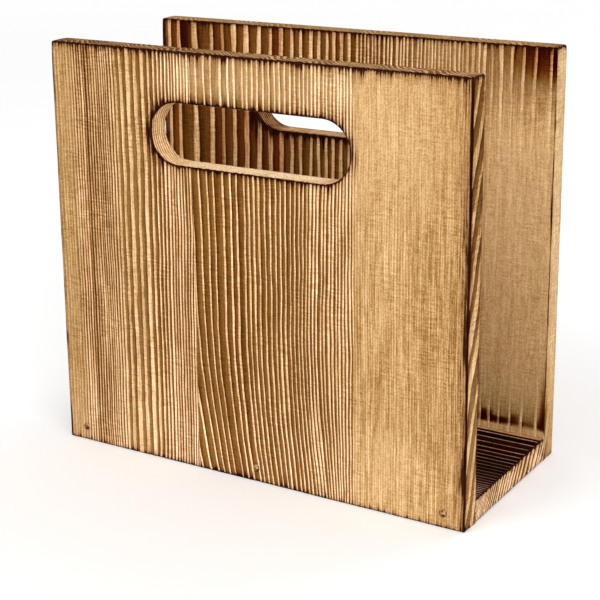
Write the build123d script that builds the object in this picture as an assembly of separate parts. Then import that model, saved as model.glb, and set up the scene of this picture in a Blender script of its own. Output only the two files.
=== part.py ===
from build123d import *

import os

# A napkin holder: two upright boards nailed to the long edges of a base board.
# +X runs along the holder, +Y from the front board to the back board, and +Z is up.
# The origin is the middle of the underside. Every length is in millimetres.

# The whole holder.
holder_length = 152.4
holder_depth = 69.85
holder_height = 139.7

# The boards. The base fills the space between the two uprights.
front_board_thickness = 8.0
back_board_thickness = 8.0
base_board_thickness = 8.0
eased_edge_radius = 0.7

# The finger slot through each upright, with half-round ends.
slot_length = 73.0
slot_height = 20.0
slot_below_top = 16.5
slot_mouth_radius = 0.6

# The finishing nails, driven through each upright into the base's long edge.
nail_end_inset = 7.3
middle_nail_offset = 1.4
nail_above_base_middle = 0.9
nail_length = 25.0
nail_shank_diameter = 1.4
nail_point_length = 2.4
nail_head_diameter = 2.2
nail_head_height = 1.0
nail_head_taper = 0.6
nail_cup_diameter = 0.9
nail_cup_depth = 0.25
nail_set_depth = 0.35

# Gap all round a nail in its hole.
nail_hole_clearance = 0.02

# How near an edge lies to a plane that it belongs to.
on_plane = 0.01

base_board_depth = holder_depth - front_board_thickness - back_board_thickness
slot_middle_height = holder_height - slot_below_top - slot_height / 2
nail_height = base_board_thickness / 2 + nail_above_base_middle
outer_nail_place = holder_length / 2 - nail_end_inset

nail_places = {
    "left": -outer_nail_place,
    "middle": middle_nail_offset,
    "right": outer_nail_place,
}


def slot_through(thickness, middle_y):
    """The finger slot's shape, as long in Y as the board is thick on each side of its middle."""
    outline = SlotOverall(slot_length, slot_height)
    slot = extrude(outline, amount=thickness, both=True)
    return Pos(0, middle_y, slot_middle_height) * Rot(90, 0, 0) * slot


def slot_mouths(board, *face_places):
    """The slot's edges on the board's two wide faces."""
    near_slot = board.edges().filter_by_position(
        Axis.Z,
        slot_middle_height - slot_height / 2 - on_plane,
        slot_middle_height + slot_height / 2 + on_plane,
    ).filter_by_position(Axis.X, -slot_length / 2, slot_length / 2)
    mouths = ShapeList()
    for place in face_places:
        mouths += near_slot.filter_by_position(Axis.Y, place - on_plane, place + on_plane)
    return mouths


def upright_board(outward, thickness):
    """An upright: outward is -1 for the front board and 1 for the back board.

    All its edges are eased except the one at the bottom that meets the base.
    """
    outer_face = outward * holder_depth / 2
    inner_face = outer_face - outward * thickness
    middle = (outer_face + inner_face) / 2
    board = Pos(0, middle, holder_height / 2) * Box(holder_length, thickness, holder_height)
    bottom_edges = board.edges().filter_by_position(Axis.Z, -on_plane, on_plane)
    base_edge = bottom_edges.filter_by_position(Axis.Y, inner_face - on_plane, inner_face + on_plane)
    board = fillet(board.edges() - base_edge, eased_edge_radius)
    board -= slot_through(thickness, middle)
    return fillet(slot_mouths(board, outer_face, inner_face), slot_mouth_radius)


def base_board():
    """The base, with only the four edges at its open ends eased."""
    middle = (front_board_thickness - back_board_thickness) / 2
    board = Pos(0, middle, base_board_thickness / 2) * Box(
        holder_length, base_board_depth, base_board_thickness
    )
    return fillet(board.edges().filter_by(Axis.Y), eased_edge_radius)


def turned_nail(clearance, top, cup_depth):
    """A nail turned about Z with its point down, where Z = 0 is the board's outer face.

    The clearance is added all round, the head reaches up to top, and the cup is the dimple in the head.
    """
    head_radius = nail_head_diameter / 2 + clearance
    shank_radius = nail_shank_diameter / 2 + clearance
    head_underside = -nail_set_depth - nail_head_height - clearance
    tip = -nail_set_depth - nail_length
    outline = Polyline(
        (0, top - cup_depth),
        (nail_cup_diameter / 2, top),
        (head_radius, top),
        (head_radius, head_underside),
        (shank_radius, head_underside - nail_head_taper),
        (shank_radius, tip + nail_point_length),
        (0, tip - clearance),
        close=True,
    )
    return revolve(Plane.XZ * make_face(outline), Axis.Z)


def nail_seat(place, outward):
    """Where a nail enters an upright's outer face, with +Z of the nail pointing outward."""
    return Plane(
        origin=(place, outward * holder_depth / 2, nail_height),
        x_dir=(1, 0, 0),
        z_dir=(0, outward, 0),
    ).location


uprights = {
    "front": (-1, front_board_thickness),
    "back": (1, back_board_thickness),
}

base = base_board()
nodes = {}

for side, (outward, thickness) in uprights.items():
    board = upright_board(outward, thickness)
    for name, place in nail_places.items():
        seat = nail_seat(place, outward)
        hole = seat * turned_nail(nail_hole_clearance, nail_set_depth, 0)
        board -= hole
        base -= hole
        nodes[f"{side}_nail_{name}"] = seat * turned_nail(0, -nail_set_depth, nail_cup_depth)
    nodes[f"{side}_board"] = board

nodes["base_board"] = base

os.makedirs("parts", exist_ok=True)
for name, shape in nodes.items():
    export_step(shape, f"parts/{name}.step")
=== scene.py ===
"""Napkin holder: two scorched, brushed boards nailed to a base board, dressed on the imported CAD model.

Lengths are millimetres unless a name ends in _m, and the meshes are written in metres.
The row frame is +X along the holder, +Y from the front board to the back board, and +Z up.
"""
import logging
import math
from dataclasses import dataclass
from enum import Enum
from typing import Callable, Iterable, Sequence, Union

import bmesh
import bpy
import numpy as np
from mathutils import Matrix, Vector


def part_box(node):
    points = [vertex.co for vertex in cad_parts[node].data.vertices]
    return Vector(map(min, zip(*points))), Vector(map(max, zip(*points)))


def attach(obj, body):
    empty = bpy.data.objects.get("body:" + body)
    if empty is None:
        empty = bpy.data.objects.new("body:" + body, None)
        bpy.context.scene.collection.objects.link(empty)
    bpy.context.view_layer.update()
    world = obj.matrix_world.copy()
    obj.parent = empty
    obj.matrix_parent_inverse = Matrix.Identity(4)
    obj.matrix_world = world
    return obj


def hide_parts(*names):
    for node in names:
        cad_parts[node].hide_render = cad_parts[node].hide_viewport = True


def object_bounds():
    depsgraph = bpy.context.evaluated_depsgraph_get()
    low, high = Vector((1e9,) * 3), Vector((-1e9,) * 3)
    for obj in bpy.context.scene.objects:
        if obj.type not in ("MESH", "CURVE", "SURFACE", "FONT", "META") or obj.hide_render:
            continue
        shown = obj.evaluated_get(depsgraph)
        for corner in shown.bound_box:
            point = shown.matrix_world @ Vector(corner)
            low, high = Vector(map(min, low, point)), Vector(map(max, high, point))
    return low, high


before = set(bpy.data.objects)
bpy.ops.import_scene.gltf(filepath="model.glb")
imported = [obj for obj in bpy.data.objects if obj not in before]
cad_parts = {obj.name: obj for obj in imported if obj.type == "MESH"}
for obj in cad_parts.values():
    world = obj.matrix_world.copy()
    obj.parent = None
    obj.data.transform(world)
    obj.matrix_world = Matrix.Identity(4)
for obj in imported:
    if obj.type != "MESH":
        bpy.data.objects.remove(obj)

LOG = logging.getLogger("napkin_holder")

MM = 0.001
"""Metres in a millimetre."""

WELD_STEP = 0.001
"""Places on the skins that agree to within this many millimetres are one vertex."""

CAD_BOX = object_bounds()

BOARD_TOP = CAD_BOX[1][2] / MM
"""Height of the uprights' top edges above the table."""

SMALLEST = 1e-9
"""Shorter lengths than this count as nothing."""

FACING = (0.45, 0.85)
"""How squarely a point looks a way before it counts as partly and as wholly on that face."""

BRUSHED_FACING = (0.2, 0.9)
"""The same for the relief that the brush left, which runs out on the eased edges."""

RELIEF_PHASE = 0.12
"""How far before a light line's far edge, in rings, the relief is highest."""

RIM_REACH = 8.0
"""Distances from the burnt edges, in widths of the burnt bands, are cut off here."""

DARK_STOPS = (3, 2)
"""Which stop of the brushed run and which of the charred run is the middle of the dark band."""

Socket = bpy.types.NodeSocket
Feed = Union[Socket, float]
Colour = tuple[int, int, int]


def smooth_step(low: float, high: float, values: np.ndarray) -> np.ndarray:
    """The soft step 3x^2 - 2x^3, where x runs from 0 at low to 1 at high.

    Args:
        low: Where the step starts.
        high: Where the step is complete.
        values: Where to work it out.

    Returns:
        The step, from 0 to 1, with the shape of values.
    """
    x = np.clip((values - low) / (high - low), 0.0, 1.0)
    return x * x * (3.0 - 2.0 * x)


def bell(values: np.ndarray, middle: float, width: float) -> np.ndarray:
    """The bell curve exp(-((x - middle) / width)^2).

    Args:
        values: Where to work it out.
        middle: Where the bell is highest.
        width: How far from the middle it has fallen to about a third.

    Returns:
        The bell, 1 at its middle, with the shape of values.
    """
    return np.exp(-(((values - middle) / width) ** 2))


def linear(colour: Colour) -> tuple[float, float, float, float]:
    """A colour as screens write it, 0 to 255, turned into the linear light that shaders take.

    Args:
        colour: Red, green and blue from 0 to 255.

    Returns:
        Linear red, green, blue and an alpha of 1.
    """
    parts = np.array(colour, float) / 255.0
    light = np.where(parts <= 0.04045, parts / 12.92, ((parts + 0.055) / 1.055) ** 2.4)
    return (float(light[0]), float(light[1]), float(light[2]), 1.0)


def filled(stations: Iterable[float], step: float) -> np.ndarray:
    """Divides each stretch between neighbouring stations into equal parts no longer than step.

    Args:
        stations: Places that have to be kept, in any order.
        step: The longest part.

    Returns:
        All places in rising order, the stations among them.
    """
    kept = np.unique(np.round(np.array(sorted(stations), float), 4))
    gaps = np.diff(kept)
    parts = np.maximum(np.ceil(gaps / step - 1e-6).astype(int), 1)
    starts = np.repeat(kept[:-1], parts)
    index = np.arange(parts.sum()) - np.repeat(np.cumsum(parts) - parts, parts)
    return np.append(starts + index * np.repeat(gaps / parts, parts), kept[-1])


# --- growth rings ------------------------------------------------------------------------------------


@dataclass(frozen=True)
class Stretch:
    """A stretch across a board whose light ring lines stand a given distance apart."""

    start: float
    end: float
    first_gap: float
    last_gap: float
    unevenness: float = 0.12

    def lines(self, dice: np.random.Generator) -> np.ndarray:
        """Places of the lines: gaps run evenly from first to last, each made uneven by the dice.

        Args:
            dice: Where the unevenness comes from.

        Returns:
            The lines after start, up to and including end.
        """
        number = max(1, round((self.end - self.start) / (0.5 * (self.first_gap + self.last_gap))))
        gaps = np.linspace(self.first_gap, self.last_gap, number)
        gaps = gaps * np.exp(self.unevenness * dice.standard_normal(number))
        return self.start + (self.end - self.start) * np.cumsum(gaps) / gaps.sum()


class RingCount:
    """Counts ring lines from one side of a board: a whole number at each line's far edge."""

    def __init__(self, stretches: Sequence[Stretch], seed: int, shift: float = 0.35) -> None:
        """Lays the lines of all stretches side by side.

        Args:
            stretches: The stretches in rising order.
            seed: Fixes the unevenness.
            shift: From a line's middle to its far edge.
        """
        dice = np.random.default_rng(seed)
        rows = [np.array([stretches[0].start])] + [stretch.lines(dice) for stretch in stretches]
        self.line_places = np.concatenate(rows) + shift
        self.numbers = np.arange(len(self.line_places), dtype=float)

    def count(self, place: np.ndarray) -> np.ndarray:
        """How many lines lie before each place, read straight between the lines."""
        return np.interp(place, self.line_places, self.numbers)

    def gap(self, place: np.ndarray) -> np.ndarray:
        """The distance between lines near each place: a stretch of 1.2 divided by the count over it.

        Args:
            place: Where to work it out.

        Returns:
            The distances.
        """
        half = 0.6
        counted = self.count(place + half) - self.count(place - half)
        return 2.0 * half / np.maximum(counted, 0.15)


@dataclass
class Rings:
    """What the growth rings are like at a set of points."""

    count: np.ndarray
    gap: np.ndarray


def meander(across: np.ndarray, along: np.ndarray) -> np.ndarray:
    """The slow sideways wander of all the grain lines: four sine waves added up."""
    return (
        0.11 * np.sin(along / 11.3 + across / 17.0)
        + 0.05 * np.sin(along / 5.1 - across / 9.0 + 1.3)
        + 0.04 * np.sin(along / 2.6 + across / 5.0 + 0.4)
        + 0.12 * np.sin(along / 23.0 - across / 31.0 + 2.2)
    )


@dataclass
class FrontGrain:
    """The front board's grain: straight fine lines, with a wedge of wide rings that opens downwards.

    The lines right of the wedge's axis drift away from it on the way down, so new rings come out
    of the axis, as they do where a board was sawn beside a bent heart. The rings grew away from the
    axis on both sides, so the count runs backwards on its left and each line is soft on its right.
    """

    axis: float = 55.2
    lean: float = 0.22
    left_of_axis: tuple[Stretch, ...] = (
        Stretch(-6.0, 8.0, 1.25, 1.2),
        Stretch(8.0, 19.0, 1.05, 1.05, 0.1),
        Stretch(19.0, 22.6, 0.9, 0.9),
        Stretch(22.6, 26.1, 1.2, 1.4),
        Stretch(26.1, 28.2, 2.1, 2.1, 0.0),
        Stretch(28.2, 30.7, 2.5, 2.5, 0.0),
        Stretch(30.7, 33.9, 3.2, 3.2, 0.0),
        Stretch(33.9, 36.7, 2.8, 2.8, 0.0),
        Stretch(36.7, 39.5, 2.8, 2.8, 0.0),
        Stretch(39.5, 41.7, 2.2, 2.2, 0.0),
        Stretch(41.7, 46.2, 1.5, 1.4),
        Stretch(46.2, 60.0, 1.2, 1.15, 0.1),
    )
    right_of_axis: tuple[Stretch, ...] = (
        Stretch(-16.0, -7.1, 3.0, 3.0),
        Stretch(-7.1, -3.7, 3.4, 3.4, 0.0),
        Stretch(-3.7, -0.7, 3.0, 3.0, 0.0),
        Stretch(-0.7, 2.3, 3.0, 3.0, 0.0),
        Stretch(2.3, 5.4, 3.1, 3.1, 0.0),
        Stretch(5.4, 7.8, 2.4, 2.4, 0.0),
        Stretch(7.8, 11.5, 3.7, 3.7, 0.0),
        Stretch(11.5, 14.3, 2.8, 2.8, 0.0),
        Stretch(14.3, 16.6, 2.3, 2.3, 0.0),
        Stretch(16.6, 19.5, 2.9, 2.9, 0.0),
        Stretch(19.5, 39.8, 1.95, 1.7, 0.09),
        Stretch(39.8, 58.6, 1.45, 1.05, 0.12),
        Stretch(58.6, 104.0, 0.84, 0.80, 0.18),
    )

    def __post_init__(self) -> None:
        """Counts the lines on each side of the axis."""
        self.left = RingCount(self.left_of_axis, seed=11, shift=-0.55)
        self.right = RingCount(self.right_of_axis, seed=12)

    def drift(self, distance: np.ndarray, height: np.ndarray) -> np.ndarray:
        """How far the lines right of the axis have drifted from where they stand at the top.

        A part that grows evenly below 100 and fades in 12 from the axis, and one that grows with the
        square below 60 and fades in 60, less a shallow bow towards the axis at half height.

        Args:
            distance: Distance of the line from the axis at the top.
            height: Height above the table.

        Returns:
            The drift away from the axis.
        """
        right = np.maximum(distance, 0.0)
        near = 3.0 * np.clip((100.0 - height) / 100.0, 0.0, 1.0) * np.exp(-right / 12.0)
        low = np.clip((60.0 - height) / 60.0, 0.0, 1.0)
        far = 5.4 * low * low * np.exp(-right / 60.0)
        bow = 1.6 * bell(height, 50.0, 35.0) * smooth_step(28.0, 50.0, distance)
        straight = 1.0 - smooth_step(45.0, 59.0, distance)
        return near + far * straight - bow * straight

    def rings(self, across: np.ndarray, along: np.ndarray, depth: np.ndarray) -> Rings:
        """The rings at points of the board.

        The distance at the top is found from the distance here by taking the drift off five times.

        Args:
            across: Distance from the board's left end, seen from the front.
            along: Height above the table.
            depth: Depth below the outer face.

        Returns:
            The rings there.
        """
        wandered = across + meander(across, along)
        here = wandered - self.axis
        top = here
        for _ in range(5):
            top = here - self.drift(top, along)
        top = top + self.lean * depth
        closing = 1.2 * np.clip((80.0 - along) / 80.0, 0.0, 1.0) * np.exp(np.minimum(here, 0.0) / 7.0)
        left_place = wandered + closing + self.lean * depth
        right_side = across >= self.axis
        return Rings(
            count=np.where(right_side, self.right.count(top), -self.left.count(left_place)),
            gap=np.where(right_side, self.right.gap(top), self.left.gap(left_place)),
        )

    def line_share(self, across: np.ndarray, gap: np.ndarray) -> np.ndarray:
        """How much of each ring is light line: more in the wide rings round 31 and in fine rings.

        Args:
            across: Distance from the board's left end.
            gap: The distance between lines.

        Returns:
            The share.
        """
        wide = bell(across, 31.0, 11.0)
        fine = 1.0 - smooth_step(1.0, 1.5, gap)
        return np.clip((0.62 + 0.8 * wide) / gap, 0.18, 0.40 + 0.10 * wide + 0.12 * fine)


@dataclass
class BackGrain:
    """The back board's grain: wide dark bands on the left, fine lines, and wide bands on the right.

    It has no axis. Its lines turn about the height called tilt_height.
    """

    axis: Union[float, None] = None
    lean: float = 0.26
    tilt: float = -0.012
    tilt_height: float = 70.0
    stretches: tuple[Stretch, ...] = (
        Stretch(-8.0, 3.0, 4.6, 4.6),
        Stretch(3.0, 7.2, 4.2, 4.2, 0.0),
        Stretch(7.2, 14.6, 7.4, 7.4, 0.0),
        Stretch(14.6, 21.4, 6.8, 6.8, 0.0),
        Stretch(21.4, 41.5, 4.8, 5.0, 0.05),
        Stretch(41.5, 54.7, 4.4, 4.4, 0.05),
        Stretch(54.7, 71.3, 3.6, 3.1, 0.14),
        Stretch(71.3, 80.0, 3.0, 2.6, 0.14),
        Stretch(80.0, 119.0, 1.55, 1.35, 0.16),
        Stretch(119.0, 129.5, 1.7, 2.2),
        Stretch(129.5, 133.0, 3.5, 3.5, 0.0),
        Stretch(133.0, 136.5, 3.5, 3.5, 0.0),
        Stretch(136.5, 140.5, 4.0, 4.0, 0.0),
        Stretch(140.5, 144.6, 4.1, 4.1, 0.0),
        Stretch(144.6, 150.0, 5.4, 5.4, 0.0),
        Stretch(150.0, 162.0, 4.2, 4.0),
    )

    def __post_init__(self) -> None:
        """Counts the lines."""
        self.counter = RingCount(self.stretches, seed=23)

    def rings(self, across: np.ndarray, along: np.ndarray, depth: np.ndarray) -> Rings:
        """The rings at points of the board, whose lines lean by tilt along it and by lean through it.

        Args:
            across: Distance from the board's left end, seen from the front.
            along: Height above the table.
            depth: Depth below the inner face.

        Returns:
            The rings there.
        """
        leaning = self.tilt * (along - self.tilt_height) + self.lean * depth
        place = across + 0.45 * meander(across, along) + leaning
        return Rings(count=self.counter.count(place), gap=self.counter.gap(place))

    def line_share(self, across: np.ndarray, gap: np.ndarray) -> np.ndarray:
        """How much of each ring is light line: wider lines on the left, and two of them wider still.

        Args:
            across: Distance from the board's left end.
            gap: The distance between lines.

        Returns:
            The share.
        """
        width = 1.4 - 0.4 * smooth_step(60.0, 120.0, across)
        width = width + 1.3 * bell(across, 12.5, 4.0) + 0.9 * bell(across, 45.0, 3.0)
        return np.clip(width / gap, 0.18, 0.42)


@dataclass
class BaseGrain:
    """The base board's grain: bands that widen from the front to the back and lean through the board."""

    lean: float = 0.575
    slant: float = 0.004
    stretches: tuple[Stretch, ...] = (
        Stretch(-8.0, 8.2, 1.2, 1.2),
        Stretch(8.2, 18.2, 1.2, 2.1, 0.06),
        Stretch(18.2, 32.5, 2.1, 2.7, 0.06),
        Stretch(32.5, 50.3, 2.9, 4.0, 0.06),
        Stretch(50.3, 66.0, 2.6, 2.6),
    )

    def __post_init__(self) -> None:
        """Counts the lines."""
        self.counter = RingCount(self.stretches, seed=31)

    def rings(self, across: np.ndarray, along: np.ndarray, depth: np.ndarray) -> Rings:
        """The rings at points of the board.

        Args:
            across: Distance from the board's front edge.
            along: Distance from the board's left end.
            depth: Depth below the top face.

        Returns:
            The rings there.
        """
        leaning = self.lean * depth + self.slant * (150.0 - along)
        place = across + 0.5 * meander(across, along) + leaning
        return Rings(count=self.counter.count(place), gap=self.counter.gap(place))

    @staticmethod
    def line_share(gap: np.ndarray) -> np.ndarray:
        """How much of each ring is light line: a line of even width over the distance between lines."""
        return np.clip(0.44 / gap, 0.12, 0.34)


@dataclass(frozen=True)
class CutGrain:
    """The grain on a narrow face, where the saw crossed the rings at an angle: lines set at one slant.

    The place along the rings is across, along and depth, each times its own slant, and two sine
    waves bend the lines.
    """

    across_slant: float
    along_slant: float
    depth_slant: float
    gap: float
    bend: float

    def count(self, across: np.ndarray, along: np.ndarray, depth: np.ndarray) -> np.ndarray:
        """How many lines lie before each point: its place over the gap.

        Args:
            across: Distance from the board's left end.
            along: Height above the table.
            depth: Depth through the board from the front.

        Returns:
            The count.
        """
        bent = np.sin(along / 9.7 + depth / 3.3 + across / 7.1)
        bent = bent + 0.6 * np.sin(along / 4.1 - depth / 2.4 + across / 2.9 + 1.0)
        place = self.across_slant * across + self.along_slant * along + self.depth_slant * depth
        return (place + self.bend * bent) / self.gap


SIDE_GRAIN = CutGrain(0.0, -0.31, 1.0, gap=5.4, bend=0.45)
"""The uprights' narrow sides: wide lines that run up the side at a steep slant."""

TOP_GRAIN = CutGrain(0.8, 0.0, 1.1, gap=1.9, bend=1.3)
"""The uprights' top edges: end grain that crosses them at a slant."""

SLOT_GRAIN = CutGrain(0.4, 0.05, 0.9, gap=1.1, bend=0.3)
"""The walls of the finger slots: fine lines along the wall."""


# --- skins of boards ---------------------------------------------------------------------------------


@dataclass(frozen=True)
class Hole:
    """A hole with half-round ends in a board, with the block of the face's grid that it takes up.

    A point lies on the hole's edge where its distance to the hole's middle line is the radius.
    """

    across: float
    along: float
    half_straight: float
    radius: float
    half_block: tuple[float, float]
    eased: float
    layers: int

    def block(self) -> tuple[float, float, float, float]:
        """The block's lowest and highest place across and along the board."""
        half_a, half_b = self.half_block
        return self.across - half_a, self.across + half_a, self.along - half_b, self.along + half_b

    def rays(self, across: np.ndarray, along: np.ndarray) -> tuple[np.ndarray, np.ndarray, np.ndarray]:
        """From the hole's edge straight out through each point.

        Args:
            across: The points' places across the board.
            along: The points' places along the board.

        Returns:
            The ray's foot on the hole's edge, its direction, and the point's distance along it.
        """
        middle = self.across + np.clip(across - self.across, -self.half_straight, self.half_straight)
        out = np.stack([across - middle, along - self.along], axis=-1)
        length = np.linalg.norm(out, axis=-1)
        way = out / np.maximum(length, SMALLEST)[..., None]
        foot = np.stack([middle, np.full_like(middle, self.along)], axis=-1) + self.radius * way
        return foot, way, length - self.radius


def arris_steps(radius: float, parts: int) -> np.ndarray:
    """Distances from a square edge that lie evenly along half its rounding: radius * (1 - tan angle).

    Args:
        radius: Radius of the rounding.
        parts: Number of parts in the half rounding.

    Returns:
        Distances from 0 to the radius.
    """
    return radius * (1.0 - np.tan(np.linspace(math.pi / 4.0, 0.0, parts + 1)))


def squircle(offsets: np.ndarray) -> np.ndarray:
    """Scales each offset by its largest part over its length, which turns a square into a disc.

    Args:
        offsets: Offsets with their parts on the last axis.

    Returns:
        The scaled offsets.
    """
    length = np.linalg.norm(offsets, axis=-1)
    largest = np.abs(offsets).max(axis=-1)
    scale = np.where(length > SMALLEST, largest / np.maximum(length, SMALLEST), 1.0)
    return offsets * scale[..., None]


class Skin:
    """Gathers patches of quads, each a grid of points, and welds them where their marks agree.

    A point's mark is its place on the square-edged board, and its place is where it really lies.
    """

    def __init__(self) -> None:
        """Starts with no patch."""
        self.marks: list[np.ndarray] = []
        self.places: list[np.ndarray] = []

    def add(self, marks: np.ndarray, places: np.ndarray, keep: Union[np.ndarray, None] = None) -> None:
        """Adds a patch.

        Args:
            marks: Grid of marks, rows by columns by 3.
            places: Grid of places of the same shape.
            keep: Which of the grid's cells are wanted, or None for all.
        """
        wanted = slice(None) if keep is None else keep.ravel()
        for store, grid in ((self.marks, marks), (self.places, places)):
            corners = np.stack([grid[:-1, :-1], grid[1:, :-1], grid[1:, 1:], grid[:-1, 1:]], axis=2)
            store.append(corners.reshape(-1, 4, 3)[wanted])

    def weld(self) -> tuple[np.ndarray, np.ndarray, np.ndarray]:
        """Joins the patches: corners whose marks round to the same whole steps are one vertex.

        Returns:
            The vertices' marks, their places, and the faces as rows of four vertex numbers.
        """
        marks = np.concatenate(self.marks).reshape(-1, 3)
        places = np.concatenate(self.places).reshape(-1, 3)
        steps = np.round(marks / WELD_STEP).astype(np.int64) + (1 << 19)
        keys = (steps[:, 0] << 40) + (steps[:, 1] << 20) + steps[:, 2]
        _, first, number = np.unique(keys, return_index=True, return_inverse=True)
        return marks[first], places[first], number.reshape(-1, 4)


@dataclass
class BoardShape:
    """A board as a box from low to high across, along and through it, with eased edges and holes.

    The grid keeps a row at each of near_ends from both ends. A pocket is a hole that ends at
    pocket_depth, where its floor closes in rings with pocket_floor_shares of the wall's radius.
    """

    low: tuple[float, float, float]
    high: tuple[float, float, float]
    eased: tuple[float, float, float]
    column_step: float
    row_step: float
    depth_step: float
    seams: tuple[float, ...] = ()
    through: tuple[Hole, ...] = ()
    pockets: tuple[Hole, ...] = ()
    pocket_depth: float = 1.05
    pocket_mid_depth: float = 0.5
    pocket_floor_shares: tuple[float, ...] = (1.0, 0.6, 0.2, 0.0)
    rounding_parts: int = 4
    hole_rounding_parts: int = 3
    near_ends: tuple[float, ...] = (1.1, 1.6, 2.3, 3.2, 4.4)
    pockets_on_far_face: bool = False
    easing: Union[Callable[[np.ndarray], np.ndarray], None] = None

    def stations(self, axis: int, extra: Iterable[float], step: float) -> np.ndarray:
        """Grid places on one axis: the ends, the roundings' steps, the holes' blocks and extra places.

        Args:
            axis: 0 for across, 1 for along, 2 for through.
            extra: More places to keep.
            step: The longest distance between places.

        Returns:
            The places in rising order.
        """
        low, high, radius = self.low[axis], self.high[axis], self.eased[axis]
        places = [low, high, *extra]
        if radius > 0.0:
            steps = arris_steps(radius, self.rounding_parts)
            places += [*(low + steps), *(high - steps)]
        if axis < 2:
            for hole in self.through + self.pockets:
                places += hole.block()[2 * axis: 2 * axis + 2]
        return filled(places, step)

    def ease(self, marks: np.ndarray) -> np.ndarray:
        """Rounds the box's edges: a point's offset from the box inside the roundings becomes round.

        Args:
            marks: Places on the square-edged box.

        Returns:
            The places on the eased box.
        """
        radius = np.array(self.eased) * np.ones_like(marks)
        if self.easing is not None:
            radius = radius * self.easing(marks)[..., None]
        core = np.clip(marks, np.array(self.low) + radius, np.array(self.high) - radius)
        return core + squircle(marks - core)

    def ease_hole(self, hole: Hole, marks: np.ndarray, foot: np.ndarray, way: np.ndarray) -> np.ndarray:
        """Rounds the hole's edges in the plane of each ray and the board's thickness.

        Args:
            hole: The hole.
            marks: Places on the square-edged hole and the face round it.
            foot: Each point's foot on the hole's edge.
            way: Each ray's direction.

        Returns:
            The places on the eased hole.
        """
        out = ((marks[..., :2] - foot) * way).sum(axis=-1)
        depth = marks[..., 2]
        inside = np.clip(depth, self.low[2] + hole.eased, self.high[2] - hole.eased)
        flat = np.stack([out, depth], axis=-1)
        core = np.stack([np.maximum(out, hole.eased), inside], axis=-1)
        round_flat = core + squircle(flat - core)
        spot = foot + way * round_flat[..., :1]
        return np.concatenate([spot, round_flat[..., 1:]], axis=-1)

    def face_patches(self, skin: Skin, columns: np.ndarray, rows: np.ndarray, far: bool) -> None:
        """Adds a wide face: the grid without its holes' blocks, then the rays that fill each block.

        Args:
            skin: Where the patches go.
            columns: Places across the board.
            rows: Places along the board.
            far: Whether it is the face away from the one that depth is counted from.
        """
        depth = self.high[2] if far else self.low[2]
        grid_a, grid_b = np.meshgrid(columns, rows, indexing="ij")
        marks = np.stack([grid_a, grid_b, np.full_like(grid_a, depth)], axis=-1)
        middle_a = 0.5 * (columns[:-1] + columns[1:])[:, None]
        middle_b = 0.5 * (rows[:-1] + rows[1:])[None, :]
        keep = np.ones((len(columns) - 1, len(rows) - 1), bool)
        holes = self.through + (self.pockets if far == self.pockets_on_far_face else ())
        for hole in holes:
            a0, a1, b0, b1 = hole.block()
            keep &= ~((middle_a > a0) & (middle_a < a1) & (middle_b > b0) & (middle_b < b1))
        skin.add(marks, self.ease(marks), keep)
        for hole in holes:
            loop_a, loop_b = self.block_loop(hole, columns, rows)
            foot, way, reach = hole.rays(loop_a, loop_b)
            steps = arris_steps(hole.eased, self.hole_rounding_parts)
            steps = steps[None, :] * np.ones((len(loop_a), 1))
            parts = np.linspace(0.0, 1.0, hole.layers + 1)[None, 1:]
            outer = hole.eased + (reach[:, None] - hole.eased) * parts
            out = np.concatenate([steps, outer], axis=1)
            spots = foot[:, None, :] + way[:, None, :] * out[..., None]
            marks = np.concatenate([spots, np.full_like(out, depth)[..., None]], axis=-1)
            skin.add(marks, self.ease_hole(hole, marks, foot[:, None, :], way[:, None, :]))

    @staticmethod
    def block_loop(hole: Hole, columns: np.ndarray, rows: np.ndarray) -> tuple[np.ndarray, np.ndarray]:
        """The grid points round a hole's block, in order, ending where they start.

        Args:
            hole: The hole.
            columns: Places across the board.
            rows: Places along the board.

        Returns:
            The points' places across and along the board.
        """
        a0, a1, b0, b1 = hole.block()
        tiny = 1e-3
        a = columns[(columns > a0 - tiny) & (columns < a1 + tiny)]
        b = rows[(rows > b0 - tiny) & (rows < b1 + tiny)]
        loop_a = [a[:-1], np.full(len(b) - 1, a[-1]), a[:0:-1], np.full(len(b), a[0])]
        loop_b = [np.full(len(a) - 1, b[0]), b[:-1], np.full(len(a) - 1, b[-1]), b[::-1]]
        return np.concatenate(loop_a), np.concatenate(loop_b)

    def wall_patches(self, skin: Skin, columns: np.ndarray, rows: np.ndarray, levels: np.ndarray) -> None:
        """Adds the four narrow faces round the board.

        Args:
            skin: Where the patches go.
            columns: Places across the board.
            rows: Places along the board.
            levels: Depths through the board.
        """
        for axis, places in ((1, columns), (0, rows)):
            run, depth = np.meshgrid(places, levels, indexing="ij")
            for end in (self.low[axis], self.high[axis]):
                still = np.full_like(run, end)
                marks = np.stack([run, still, depth] if axis == 1 else [still, run, depth], axis=-1)
                skin.add(marks, self.ease(marks))

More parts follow.
